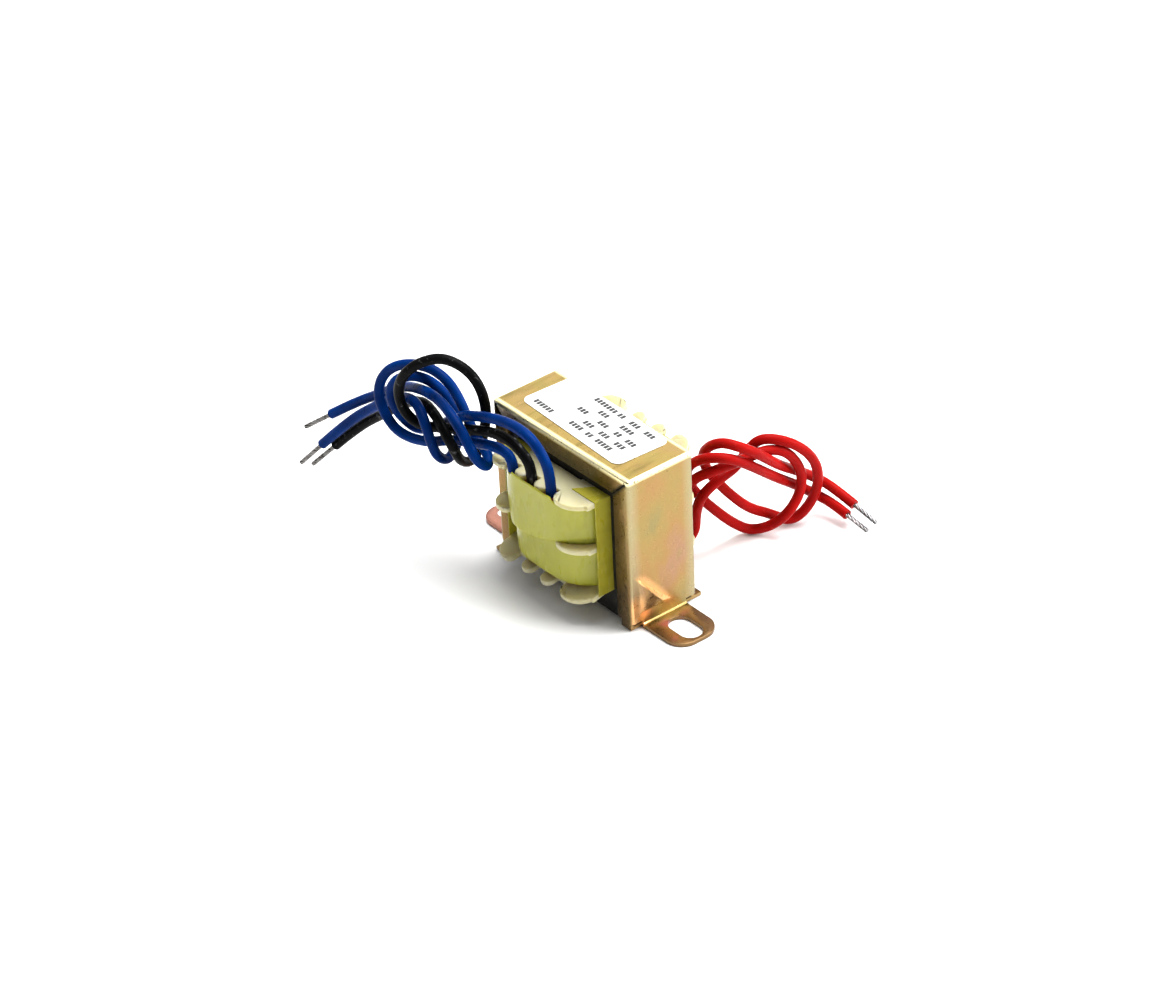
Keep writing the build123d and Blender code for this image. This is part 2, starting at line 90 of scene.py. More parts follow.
# %% [markdown]
# ## A short way to write materials
#
# Every finish below is a small node tree. Nodes can be joined by hand in the editor, but in a
# script that takes three lines for each node. The first helper makes a node, sets its plain
# values and links its inputs in one call, so a tree reads from top to bottom like a recipe. The
# others wrap the nodes that come up most. Patterns read Object coordinates, which stay still
# when the part is turned.

# %% Make one node
def new_material(name):
    material = bpy.data.materials.new(name)
    material.use_nodes = True
    material.node_tree.nodes.clear()
    return material


def node(tree, kind, links=None, **settings):
    made = tree.nodes.new(kind)
    for key, value in settings.items():
        setattr(made, key, value)
    for socket, value in (links or {}).items():
        if isinstance(value, bpy.types.NodeSocket):
            tree.links.new(value, made.inputs[socket])
        else:
            made.inputs[socket].default_value = value
    return made


def finish_surface(material, links):
    tree = material.node_tree
    shader = node(tree, "ShaderNodeBsdfPrincipled", links)
    node(tree, "ShaderNodeOutputMaterial", {"Surface": shader.outputs["BSDF"]})
    return material


print("one call makes a node, one call ends a tree")

# %% Patterns and the values read from them
NOISE_LOW, NOISE_HIGH = 0.3, 0.7


def object_place(tree, scale=(1, 1, 1), turn=(0, 0, 0)):
    source = node(tree, "ShaderNodeTexCoord").outputs["Object"]
    links = {"Vector": source, "Scale": scale, "Rotation": turn}
    return node(tree, "ShaderNodeMapping", links).outputs[0]


def speckle(tree, place, scale, detail=3.0, rough=0.5):
    links = {"Vector": place, "Scale": scale, "Detail": detail, "Roughness": rough}
    return node(tree, "ShaderNodeTexNoise", links).outputs["Fac"]


def ramp(tree, factor, *stops):
    made = node(tree, "ShaderNodeValToRGB", {"Fac": factor})
    band = made.color_ramp
    while len(band.elements) < len(stops):
        band.elements.new(0.5)
    for element, (position, colour) in zip(band.elements, stops):
        element.position = position
        element.color = (*colour, 1)
    return made.outputs["Color"]


def span(tree, factor, low, high, start=0.0, end=1.0):
    """Runs from low to high as the factor goes from start to end, and stays there outside."""
    links = {"Value": factor, "From Min": start, "From Max": end, "To Min": low, "To Max": high}
    return node(tree, "ShaderNodeMapRange", links).outputs[0]


def varied(tree, pattern, low, high):
    """Spreads a noise pattern, which seldom leaves its middle part, over a range of values."""
    return span(tree, pattern, low, high, NOISE_LOW, NOISE_HIGH)


def blend(tree, factor, first, second):
    """Mixes two colours, each given as a socket or as plain red, green and blue."""
    mixed = node(tree, "ShaderNodeMix", {0: factor}, data_type="RGBA")
    for socket, colour in ((6, first), (7, second)):
        if isinstance(colour, bpy.types.NodeSocket):
            tree.links.new(colour, mixed.inputs[socket])
        else:
            mixed.inputs[socket].default_value = (*colour, 1)
    return mixed.outputs[2]


def bump(tree, height, depth, strength):
    links = {"Height": height, "Distance": depth, "Strength": strength}
    return node(tree, "ShaderNodeBump", links).outputs["Normal"]


print("noise is read between", NOISE_LOW, "and", NOISE_HIGH)

# %% [markdown]
# ## Coloured PVC for the leads
#
# The leads are hook-up wire: stranded copper in a skin of coloured PVC, about two millimetres
# across. The skin is pressed through a die round the strands, so it is smooth and half glossy,
# with faint waviness and dull marks from handling. A single recipe with a colour, a mark colour
# and a gloss makes all three colours. The marks are sparse patches of noise, wide on the black
# lead where dust shows, and hardly visible on red and blue. The mirror reflection is kept weak,
# because a white floor reflected all along a dark lead would veil its colour.

# %% Lead finishes
def pvc(name, deep, bright, marks, mark_start, gloss):
    material = new_material(name)
    tree = material.node_tree
    place = object_place(tree)
    broad = speckle(tree, place, 140, 2)
    fine = speckle(tree, place, 900, 4, 0.6)
    base = ramp(tree, broad, (0.3, deep), (0.7, bright))
    worn = span(tree, fine, 0, 1, mark_start, mark_start + 0.16)
    rough = span(tree, fine, gloss - 0.05, gloss + 0.2, 0.3, 0.75)
    return finish_surface(material, {
        "Base Color": blend(tree, worn, base, marks),
        "Roughness": rough,
        "IOR": 1.17,
        "Specular IOR Level": 0.18,
        "Normal": bump(tree, fine, 0.00004, 0.35),
    })


blue_pvc = pvc("royal_blue_pvc", (0.0003, 0.012, 0.08), (0.0005, 0.03, 0.18),
               marks=(0.01, 0.07, 0.26), mark_start=0.66, gloss=0.26)
black_pvc = pvc("black_pvc", (0.002, 0.002, 0.0022), (0.005, 0.005, 0.0055),
                marks=(0.1, 0.1, 0.1), mark_start=0.6, gloss=0.3)
red_pvc = pvc("red_pvc", (0.24, 0.003, 0.0025), (0.34, 0.006, 0.005),
              marks=(0.5, 0.05, 0.04), mark_start=0.66, gloss=0.28)
print("lead finishes", [m.name for m in (blue_pvc, black_pvc, red_pvc)])

# %% [markdown]
# ## The routes of the leads
#
# Each lead leaves through a notch in the bobbin, the blue and black ones upwards at the front
# and the red ones downwards at the rear, and then wanders through a loose overhand knot. The
# points are the corners of the route in millimetres, counted from the row of notches. A NURBS
# curve runs smoothly along the inside of its control points, which is just how a springy wire
# takes a bend, so a few corners give a soft line with no kinks. The order of the curve and its
# end points are set only after all points are in.

# %% Route points
NOTCH_MIDDLE = 12.45
FRONT_NOTCHES = (0, -NOTCH_MIDDLE, 24.1)
REAR_NOTCHES = (0, NOTCH_MIDDLE, 6.8)

LEFT_BLUE = [
    (-6.4, 0, 0), (-6.4, 0, 2.7), (-9.6, -0.7, 3.6), (-15.6, -0.7, 1.6), (-22.3, -1.0, -0.8),
    (-28.9, -1.9, -4.2), (-35.0, -3.3, -4.6), (-39.2, -3.3, -2.3), (-40.8, -3.3, 1.4),
    (-40.1, -2.3, 5.2), (-36.6, -1.0, 8.4), (-30.7, 0.5, 10.1), (-26.4, 1.7, 8.7),
    (-24.0, 2.3, 5.6), (-22.3, 2.4, 2.7), (-19.0, 1.8, -0.1), (-14.8, 1.1, -1.1),
    (-12.1, -1.1, -1.9), (-12.4, -3.5, 0.8), (-15.4, -3.7, 5.1), (-20.7, -3.1, 7.9),
    (-28.7, -1.2, 6.5), (-38.6, 1.1, 2.1), (-46.7, 1.0, -3.5), (-52.5, -0.5, -7.4),
    (-57.3, -2.5, -11.2)]
BLACK = [
    (-1.2, 0, 0), (-1.2, 0, 2.7), (-2.0, -0.5, 5.2), (-5.9, -0.7, 6.9), (-11.8, -0.8, 5.9),
    (-17.9, -1.2, 3.4), (-24.3, -1.5, 0.9), (-28.9, -2.5, -0.4), (-31.5, -3.7, 1.0),
    (-32.2, -4.7, 4.3), (-31.5, -5.1, 8.1), (-29.5, -4.9, 11.4), (-27.3, -3.1, 13.8),
    (-24.1, -0.7, 15.2), (-20.7, 1.3, 14.0), (-18.0, 2.3, 11.5), (-17.2, 3.1, 6.8),
    (-19.3, 4.1, 0.6), (-21.3, 4.0, -4.3), (-21.3, 2.1, -6.4), (-20.2, -0.9, -4.5),
    (-18.8, -3.2, -0.5), (-20.3, -3.8, 2.6), (-25.1, -2.2, 3.6), (-32.3, 0.3, 2.3),
    (-39.6, 1.1, -2.3), (-45.6, 0.7, -7.2), (-50.9, -0.9, -11.4), (-55.7, -3.3, -16.9)]
RIGHT_BLUE = [
    (4.0, 0, 0), (4.0, 0, 3.9), (3.0, -0.5, 7.6), (-0.5, -0.7, 10.3), (-6.6, -0.7, 10.2),
    (-13.9, -0.7, 7.9), (-21.1, 0.0, 4.3), (-28.9, 1.2, -2.0), (-33.9, 0.1, -4.9),
    (-36.3, -1.5, -2.6), (-36.0, -3.6, 1.6), (-36.3, -3.7, 4.5), (-34.4, -3.0, 7.3),
    (-32.5, -1.1, 7.9), (-30.7, 0.9, 6.9), (-28.9, 2.4, 4.8), (-26.3, 2.8, 2.1),
    (-25.5, 3.0, -1.8), (-25.7, 2.2, -5.6), (-24.6, -0.7, -6.5), (-24.2, -3.3, -4.1),
    (-24.8, -4.1, -0.2), (-26.1, -4.1, 3.3), (-31.0, -2.3, 4.2), (-38.3, -0.6, 0.5),
    (-45.1, -0.8, -4.4), (-51.3, -2.5, -9.6), (-57.3, -5.1, -16.6)]
LOWER_RED = [
    (6.4, 0, 0), (6.4, 0, -2.4), (6.4, 2.3, -4.2), (6.6, 4.7, -2.8), (7.2, 4.4, 1.4),
    (9.2, 3.9, 6.2), (11.0, 6.2, 9.4), (10.2, 11.5, 9.5), (9.6, 14.6, 11.4),
    (11.4, 16.4, 14.2), (15.0, 20.6, 13.0), (16.0, 25.0, 8.0), (15.2, 26.6, 1.7),
    (13.8, 25.2, -3.5), (12.0, 22.5, -6.3), (10.4, 18.9, -3.6), (9.6, 14.9, -1.1),
    (8.8, 11.4, 2.9), (7.6, 8.8, 6.7), (6.6, 7.0, 10.4), (7.6, 6.2, 14.4),
    (11.8, 6.6, 17.8), (15.0, 8.4, 17.4), (16.0, 11.6, 15.0), (13.6, 18.5, 8.4),
    (11.4, 25.3, 3.0), (12.2, 29.6, -0.3), (15.4, 31.0, -2.0), (19.2, 31.4, -3.2)]
UPPER_RED = [
    (1.2, 0, 0), (1.2, 0, -2.6), (1.4, 2.3, -4.4), (2.2, 4.9, -2.6), (3.6, 4.1, 1.8),
    (6.2, 2.9, 6.4), (9.2, 2.9, 10.8), (12.0, 4.7, 12.6), (12.6, 8.8, 12.7),
    (12.3, 13.0, 12.1), (12.8, 16.9, 12.2), (14.6, 20.1, 10.9), (14.6, 23.1, 5.5),
    (14.8, 22.4, 1.3), (14.8, 19.3, -1.8), (12.0, 17.4, -5.0), (9.1, 15.2, -6.2),
    (8.2, 11.8, -3.3), (7.2, 9.0, 0.0), (6.2, 6.5, 3.3), (4.6, 4.9, 6.6),
    (6.4, 3.3, 11.6), (11.0, 3.6, 15.5), (15.0, 6.5, 15.9), (15.0, 11.4, 11.9),
    (13.2, 18.0, 5.9), (11.8, 24.4, 0.6), (12.0, 29.0, -3.5), (15.8, 29.4, -3.7),
    (19.5, 29.3, -4.2)]

LEADS = {
    "left_blue": (FRONT_NOTCHES, LEFT_BLUE, blue_pvc, "blue_pvc"),
    "black": (FRONT_NOTCHES, BLACK, black_pvc, "black_pvc"),
    "right_blue": (FRONT_NOTCHES, RIGHT_BLUE, blue_pvc, "blue_pvc"),
    "lower_red": (REAR_NOTCHES, LOWER_RED, red_pvc, "red_pvc"),
    "upper_red": (REAR_NOTCHES, UPPER_RED, red_pvc, "red_pvc"),
}
print("routes", {name: len(route) for name, (_, route, _, _) in LEADS.items()})

# %% Draw the leads
LEAD_DIAMETER = 1.9 * MM


def place_on_stage(thing):
    bpy.context.scene.collection.objects.link(thing)
    return thing


def lead_points(name):
    notch, route, _, _ = LEADS[name]
    return [(Vector(notch) + Vector(step)) * MM for step in route]


def draw_lead(name):
    line = bpy.data.curves.new(name + "_insulation", "CURVE")
    line.dimensions = "3D"
    line.resolution_u = 8
    line.bevel_depth = LEAD_DIAMETER / 2
    line.bevel_resolution = 5
    line.use_fill_caps = True
    spline = line.splines.new("NURBS")
    points = lead_points(name)
    spline.points.add(len(points) - 1)
    for control, point in zip(spline.points, points):
        control.co = (*point, 1)
    spline.order_u = 3
    spline.use_endpoint_u = True
    line.materials.append(LEADS[name][2])
    return place_on_stage(bpy.data.objects.new(name + "_insulation", line))


insulation = {name: draw_lead(name) for name in LEADS}
for name, piece in insulation.items():
    print(name, "lead, mm", round(piece.data.splines[0].calc_length() / MM, 1))

# %% [markdown]
# ## Twisted, tinned strand ends
#
# Where the PVC is stripped off, the strands are twisted and dipped in solder. A plain rod would
# look like a pin. A Geometry Nodes tree takes one straight line, copies it once for each strand
# and winds the copies round the line as they run along it, so the pitch and the number of
# strands are just inputs. The solder between them is a thin core that nearly fills the gaps.

# %% Tinned finish
def tinned(name, dark, light):
    material = new_material(name)
    tree = material.node_tree
    place = object_place(tree)
    patches = speckle(tree, place, 700, 4, 0.6)
    return finish_surface(material, {
        "Base Color": ramp(tree, patches, (0.35, dark), (0.65, light)),
        "Metallic": 1.0,
        "Roughness": varied(tree, patches, 0.18, 0.36),
        "Normal": bump(tree, speckle(tree, place, 2600, 3), 0.00005, 0.4),
    })


# A darker tin on the blue and black ends and a brighter one on the red ends.
grey_tin = tinned("tarnished_tin", (0.07, 0.064, 0.06), (0.24, 0.23, 0.22))
bright_tin = tinned("bright_tin", (0.15, 0.15, 0.155), (0.38, 0.375, 0.38))
print("tinned finishes", grey_tin.name, bright_tin.name)

# %% Steps of a geometry tree
def tree_with(name, *inputs):
    tree = bpy.data.node_groups.new(name, "GeometryNodeTree")
    for label, kind in inputs:
        tree.interface.new_socket(label, in_out="INPUT", socket_type=kind)
    tree.interface.new_socket("Geometry", in_out="OUTPUT", socket_type="NodeSocketGeometry")
    return tree, node(tree, "NodeGroupInput").outputs


def maths(tree, operation, first, second=0.0):
    return node(tree, "ShaderNodeMath", {0: first, 1: second}, operation=operation).outputs[0]


def scaled(tree, vector, factor):
    links = {0: vector, "Scale": factor}
    return node(tree, "ShaderNodeVectorMath", links, operation="SCALE").outputs[0]


def tube_along(tree, curve, radius, sides):
    ring = node(tree, "GeometryNodeCurvePrimitiveCircle", {"Radius": radius, "Resolution": sides})
    links = {"Curve": curve, "Profile Curve": ring.outputs[0], "Fill Caps": True}
    return node(tree, "GeometryNodeCurveToMesh", links).outputs[0]


print("geometry steps: a tree with inputs, sums, scaled directions, tubes")

# %% Tree that twists strands along a line
STRAND_STEPS = 28
SOLDER_FILL = 0.75


def strand_tree():
    tree, given = tree_with(
        "twisted_strands", ("Start", "NodeSocketVector"), ("End", "NodeSocketVector"),
        ("Side", "NodeSocketVector"), ("Other Side", "NodeSocketVector"),
        ("Strands", "NodeSocketInt"), ("Turns", "NodeSocketFloat"),
        ("Lay Radius", "NodeSocketFloat"), ("Strand Radius", "NodeSocketFloat"),
        ("Material", "NodeSocketMaterial"))
    line = node(tree, "GeometryNodeCurvePrimitiveLine",
                {"Start": given["Start"], "End": given["End"]})
    steps = node(tree, "GeometryNodeResampleCurve",
                 {"Curve": line.outputs[0], "Count": STRAND_STEPS})
    copies = node(tree, "GeometryNodeDuplicateElements",
                  {"Geometry": steps.outputs[0], "Amount": given["Strands"]}, domain="SPLINE")
    along = node(tree, "GeometryNodeSplineParameter").outputs["Factor"]
    share = maths(tree, "DIVIDE", copies.outputs["Duplicate Index"], given["Strands"])
    turn = maths(tree, "ADD", maths(tree, "MULTIPLY", along, given["Turns"]), share)
    angle = maths(tree, "MULTIPLY", turn, 2 * math.pi)
    across = scaled(tree, given["Side"], maths(tree, "COSINE", angle))
    upward = scaled(tree, given["Other Side"], maths(tree, "SINE", angle))
    around = node(tree, "ShaderNodeVectorMath", {0: across, 1: upward}, operation="ADD").outputs[0]
    shift = scaled(tree, around, given["Lay Radius"])
    wound = node(tree, "GeometryNodeSetPosition",
                 {"Geometry": copies.outputs[0], "Offset": shift})
    strands = tube_along(tree, wound.outputs[0], given["Strand Radius"], sides=8)
    fill = maths(tree, "MULTIPLY", given["Lay Radius"], SOLDER_FILL)
    solder = tube_along(tree, steps.outputs[0], fill, sides=10)
    joined = node(tree, "GeometryNodeJoinGeometry")
    tree.links.new(solder, joined.inputs[0])
    tree.links.new(strands, joined.inputs[0])
    whole = node(tree, "GeometryNodeRealizeInstances", {"Geometry": joined.outputs[0]})
    coated = node(tree, "GeometryNodeSetMaterial",
                  {"Geometry": whole.outputs[0], "Material": given["Material"]})
    node(tree, "NodeGroupOutput", {"Geometry": coated.outputs[0]})
    return tree


twisted_strands = strand_tree()
print("tree", twisted_strands.name, len(twisted_strands.nodes), "nodes")

# %% Make the stripped ends
STRIPPED = {"left_blue": 7.4, "black": 7.4, "right_blue": 7.4, "lower_red": 5.5, "upper_red": 5.5}
STRANDS = 5
STRAND_RADIUS = 0.2 * MM
LAY_RADIUS = 0.26 * MM
LAY_PITCH = 5.0
TUCK = 0.6 * MM
TIP_TRIM = 0.1
STRAND_CREASE = math.radians(50)


def grow(name, tree, **values):
    """Evaluates a tree once and keeps the result as a plain mesh."""
    piece = place_on_stage(bpy.data.objects.new(name, bpy.data.meshes.new(name + "_seed")))
    grower = piece.modifiers.new("grower", "NODES")
    grower.node_group = tree
    for item in tree.interface.items_tree:
        key = item.name.lower().replace(" ", "_")
        if item.in_out == "INPUT" and key in values:
            grower[item.identifier] = values[key]
    evaluated = piece.evaluated_get(bpy.context.evaluated_depsgraph_get())
    mesh = bpy.data.meshes.new_from_object(evaluated)
    piece.modifiers.remove(grower)
    piece.data = mesh
    mesh.name = name
    return piece


def strip_end(name):
    before, end = lead_points(name)[-2:]
    along = (end - before).normalized()
    side = along.orthogonal().normalized()
    piece = grow(name + "_strands", twisted_strands,
                 start=end - along * TUCK, end=end + along * (STRIPPED[name] - TIP_TRIM) * MM,
                 side=side, other_side=along.cross(side),
                 strands=STRANDS, turns=STRIPPED[name] / LAY_PITCH,
                 lay_radius=LAY_RADIUS, strand_radius=STRAND_RADIUS,
                 material=bright_tin if "red" in name else grey_tin)
    piece.data.shade_smooth()
    piece.data.set_sharp_from_angle(angle=STRAND_CREASE)
    return piece


for name, piece in insulation.items():
    strands = strip_end(name)
    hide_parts(name + "_tinned_end")
    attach(strands, "root")
    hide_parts(name + "_lead")
    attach(piece, "root")
    print(name, "strand faces", len(strands.data.polygons))

# %% [markdown]
# ## The folded frame
#
# The frame is one strip of steel, folded over the core, with a mounting ear at each foot and a
# slanting ridge pressed into each leg to stiffen it. The shape is copied from the solid, and its
# loose triangles are merged. Three cuts split the large faces, because a bevel on one long
# winding face can fold it over itself. The edges then get a hair of rounding: a perfectly sharp
# edge never catches the light as a sheared sheet does.

# %% Copy a solid and cut it
MERGE_GAP = 0.002 * MM
FLAT_ANGLE = math.radians(0.5)
MOST_CORNERS = 8


def merged_copy(source):
    shape = bmesh.new()
    shape.from_mesh(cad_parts[source].data)
    bmesh.ops.remove_doubles(shape, verts=shape.verts, dist=MERGE_GAP)
    bmesh.ops.dissolve_limit(shape, angle_limit=FLAT_ANGLE, verts=shape.verts, edges=shape.edges)
    return shape


def cut_across(shape, axis, place):
    """Adds an edge loop where a plane square to one axis meets the shape."""
    normal = [1.0 if axis == i else 0.0 for i in range(3)]
    bmesh.ops.bisect_plane(shape, geom=shape.verts[:] + shape.edges[:] + shape.faces[:],
                           plane_co=[place * MM * n for n in normal], plane_no=normal)


def finished_copy(shape, name):
    many_sided = [face for face in shape.faces if len(face.verts) > MOST_CORNERS]
    bmesh.ops.triangulate(shape, faces=many_sided)
    mesh = bpy.data.meshes.new(name)
    shape.to_mesh(mesh)
    shape.free()
    return place_on_stage(bpy.data.objects.new(name, mesh))


print("frame faces in the solid", len(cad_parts["mounting_frame"].data.polygons))

# %% Round the edges and put a piece in place of solids
BEVEL_ANGLE = math.radians(35)
SHARP_ANGLE = math.radians(28)


def soften(piece, width, segments=2):
    edge = piece.modifiers.new("soft_edges", "BEVEL")
    edge.width = width
    edge.segments = segments
    edge.limit_method = "ANGLE"
    edge.angle_limit = BEVEL_ANGLE
    edge.use_clamp_overlap = False
    evaluated = piece.evaluated_get(bpy.context.evaluated_depsgraph_get())
    mesh = bpy.data.meshes.new_from_object(evaluated)
    piece.modifiers.remove(edge)
    piece.data = mesh
    mesh.shade_smooth()
    mesh.set_sharp_from_angle(angle=SHARP_ANGLE)
    return piece


def stands_for(piece, material, slot_name, *nodes):
    piece.data.materials.clear()
    piece.data.materials.append(material)
    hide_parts(*nodes)
    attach(piece, "root")
    return piece


print("edges sharper than", round(math.degrees(BEVEL_ANGLE)), "degrees get a bevel")

# %% [markdown]
# ## Yellow zinc on the frame
#
# The steel is plated with zinc and dipped in yellow chromate. That leaves a clear film whose
# thickness wanders, so the metal is straw gold in one place and olive or rose in another, and a
# single gold would look like paint. Soft noise picks the tint here, and the place on the frame
# changes it. The plate has streaks across it and the left ear is salmon. Painted highlights pale
# the plate's edges at its folds and the legs beside their side folds, and painted orange highlights
# lie on the ridges and at the foot of each leg. Painted shade darkens the flanges towards the core,
# under the plate and at the mitres, and it darkens the right ear, which also has rose patches.
# Each place is a mask worked out from Object coordinates.

# %% Places on the frame
LEG_FACE = 18.2
FLANGE_FACE = 7.2
PLATE_FACE = 31.0


def times(tree, *factors):
    product = factors[0]
    for factor in factors[1:]:
        product = maths(tree, "MULTIPLY", product, factor)
    return product


def rising(tree, length, start, end, top=1):
    """A mask that goes from nothing to top as a length grows from start to end, in millimetres."""
    return span(tree, length, 0, top, start * MM, end * MM)


def falling(tree, length, start, end, top=1):
    """The same the other way round, from top to nothing."""
    return span(tree, length, top, 0, start * MM, end * MM)


def inward(tree, face, length):
    """How far a place lies inside one face of the frame."""
    return maths(tree, "SUBTRACT", face * MM, length)


def frame_places(tree):
    place = object_place(tree)
    x, y, z = node(tree, "ShaderNodeSeparateXYZ", {"Vector": place}).outputs
    out_x, out_y = maths(tree, "ABSOLUTE", x), maths(tree, "ABSOLUTE", y)
    return SimpleNamespace(
        place=place, x=x, y=y, z=z, out_x=out_x, out_y=out_y, side=maths(tree, "SIGN", x),
        leg=rising(tree, out_x, 17.6, 18.1), plate=rising(tree, z, 29.9, 30.4),
        flange=rising(tree, out_y, 7.0, 7.15))


print("frame faces at", LEG_FACE, FLANGE_FACE, PLATE_FACE, "mm")

# %% Tints of the plate, legs and flanges
PAINTED_SHADE_BROWN = (0.05, 0.04, 0.014)
MITRE_PLACE = 12.8


def rolled_tint(tree, at):
    chromate = speckle(tree, object_place(tree, (1, 1, 0.55)), 125, 3, 0.55)
    tint = ramp(tree, chromate, (0.25, (0.22, 0.185, 0.075)), (0.42, (0.28, 0.195, 0.066)),
                (0.55, (0.3, 0.178, 0.066)), (0.68, (0.3, 0.17, 0.095)), (0.8, (0.25, 0.18, 0.072)))
    streaks = speckle(tree, object_place(tree, (1, 0.16, 1), (0, 0, 0.3)), 420, 4, 0.65)
    tint = blend(tree, times(tree, at.plate, 0.45), tint, (0.34, 0.26, 0.055))
    streaked = times(tree, at.plate, span(tree, streaks, 0, 0.75, 0.48, 0.7))
    tint = blend(tree, streaked, tint, (0.13, 0.1, 0.02))
    # Painted highlight: the leg is paled beside its side fold, where the fold catches the light.
    painted_fold_highlight = times(tree, at.leg, rising(tree, at.out_y, 4.6, 6.6, 0.6))
    return blend(tree, painted_fold_highlight, tint, (0.33, 0.3, 0.18))


def flange_tint(tree, at, tint):
    from_fold = maths(tree, "MINIMUM", inward(tree, LEG_FACE, at.out_x),
                      inward(tree, PLATE_FACE, at.z))
    # Painted shade: the flanges darken towards the core, in a band under the plate and along the
    # mitres.
    painted_shade_inward = times(tree, at.flange, rising(tree, from_fold, 0.3, 4.0, 0.62))
    tint = blend(tree, painted_shade_inward, tint, PAINTED_SHADE_BROWN)
    painted_shade_under_plate = times(tree, at.flange, rising(tree, at.z, 27.2, 27.8, 0.5),
                        falling(tree, at.out_x, 13.5, 17.0))
    tint = blend(tree, painted_shade_under_plate, tint, PAINTED_SHADE_BROWN)
    along_mitre = maths(tree, "ADD", maths(tree, "SUBTRACT", at.out_x, at.z), MITRE_PLACE * MM)
    from_mitre = maths(tree, "ABSOLUTE", along_mitre)
    painted_mitre_shade = times(tree, at.flange, falling(tree, from_mitre, 0.3, 1.0, 0.9))
    return blend(tree, painted_mitre_shade, tint, (0.03, 0.025, 0.012))


def fold_tint(tree, at, tint):
    from_leg = times(tree, inward(tree, LEG_FACE, at.out_x), 1.8)
    from_edge = maths(tree, "MINIMUM", from_leg, inward(tree, FLANGE_FACE, at.out_y))
    # Painted highlight: the plate is paled along its edges at the folds.
    painted_edge_highlight = times(tree, at.plate, falling(tree, from_edge, 0.6, 1.1, 0.85))
    return blend(tree, painted_edge_highlight, tint, (0.95, 0.85, 0.5))


# The dull tint printed here is painted shade on the flanges.
print("dull tint on the flanges", PAINTED_SHADE_BROWN)

# %% Tints of the ears and ridges
PAINTED_GLOW_ORANGE = (0.95, 0.5, 0.2)


def ear_tint(tree, at, tint):
    tint = blend(tree, falling(tree, at.x, -19.5, -18.5), tint, (0.33, 0.145, 0.1))
    # Painted shade: the right ear is darkened; the rose patches on it are chromate tone.
    right_ear = rising(tree, at.x, 19.0, 20.5)
    tint = blend(tree, right_ear, tint, (0.17, 0.1, 0.043))
    rose = span(tree, speckle(tree, at.place, 170, 1), 0, 0.75, 0.54, 0.66)
    return blend(tree, times(tree, rose, right_ear), tint, (0.3, 0.1, 0.11))


def ridge_tint(tree, at, tint):
    # Painted highlights: the pressed ridge is paled to bright orange, and orange glow is painted
    # beside it and at the foot of the leg.
    leant = maths(tree, "ADD", at.z, times(tree, at.y, 1.2, at.side))
    ridge = times(tree, rising(tree, leant, 2.9, 3.4), rising(tree, at.z, 2.8, 3.4))
    raised = times(tree, ridge, rising(tree, at.out_x, 18.22, 18.4))
    tint = blend(tree, raised, tint, (0.95, 0.6, 0.26))
    beside = times(tree, ridge, falling(tree, leant, 4.5, 6.2, 0.5),
                   falling(tree, at.z, 9.6, 11.5), rising(tree, at.out_x, 17.9, 18.2))
    tint = blend(tree, beside, tint, PAINTED_GLOW_ORANGE)
    foot = times(tree, at.leg, falling(tree, at.z, 4.5, 7.5, 0.8),
                 falling(tree, times(tree, at.y, at.side), -4.5, -3.0),
                 falling(tree, at.out_x, 18.4, 18.8))
    return blend(tree, foot, tint, PAINTED_GLOW_ORANGE)


# The orange printed here is the painted highlight and glow on the ridges and legs.
print("orange where the sheet was drawn", PAINTED_GLOW_ORANGE)

# %% Yellow zinc finish
def yellow_zinc():
    material = new_material("yellow_zinc")
    tree = material.node_tree
    at = frame_places(tree)
    tint = rolled_tint(tree, at)
    for shade in (flange_tint, fold_tint, ear_tint, ridge_tint):
        tint = shade(tree, at, tint)
    spots = speckle(tree, at.place, 1500, 2, 0.4)
    fewer_below = span(tree, at.z, 0.82, 0.64, 26.0 * MM, 30.5 * MM)
    specks = span(tree, maths(tree, "SUBTRACT", spots, fewer_below), 0, 0.7, 0.0, 0.05)
    grain = speckle(tree, at.place, 1500, 4, 0.6)
    return finish_surface(material, {
        "Base Color": blend(tree, times(tree, specks, at.leg), tint, (0.06, 0.045, 0.02)),
        "Metallic": 0.96,
        "Roughness": varied(tree, grain, 0.24, 0.4),
        "Normal": bump(tree, grain, 0.00004, 0.25),
    })


zinc = yellow_zinc()
print(zinc.name, "has", len(zinc.node_tree.nodes), "nodes")

# %% Fold the frame
RIDGE_LOW, RIDGE_HIGH = 3.2, 10.8
RIDGE_START = LEG_FACE + 0.01
RIDGE_PASSES = 4
FRAME_CUTS = ((0, 17.0), (0, -17.0), (2, 29.8))
FRAME_EDGE = 0.07 * MM


def round_ridges(shape):
    """Subdivides the ridge on each leg and lets its points settle, so it looks drawn, not cut."""
    def raised(place):
        return abs(place.x) > RIDGE_START * MM and RIDGE_LOW * MM < place.z < RIDGE_HIGH * MM
    pressed = [face for face in shape.faces
               if raised(face.calc_center_median()) and abs(face.normal.x) > 0.2]
    lines = list({edge for face in pressed for edge in face.edges})
    bmesh.ops.subdivide_edges(shape, edges=lines, cuts=3, use_grid_fill=True)
    loose = [corner for corner in shape.verts if raised(corner.co)]
    for _ in range(RIDGE_PASSES):
        bmesh.ops.smooth_vert(shape, verts=loose, factor=0.5,
                              use_axis_x=True, use_axis_y=True, use_axis_z=True)
    return len(loose)


frame_shape = merged_copy("mounting_frame")
print("points in the ridges", round_ridges(frame_shape))
for axis, place in FRAME_CUTS:
    cut_across(frame_shape, axis, place)
folded_frame = soften(finished_copy(frame_shape, "folded_frame"), FRAME_EDGE)
stands_for(folded_frame, zinc, "plated_steel", "mounting_frame")
print("folded frame faces", len(folded_frame.data.polygons))

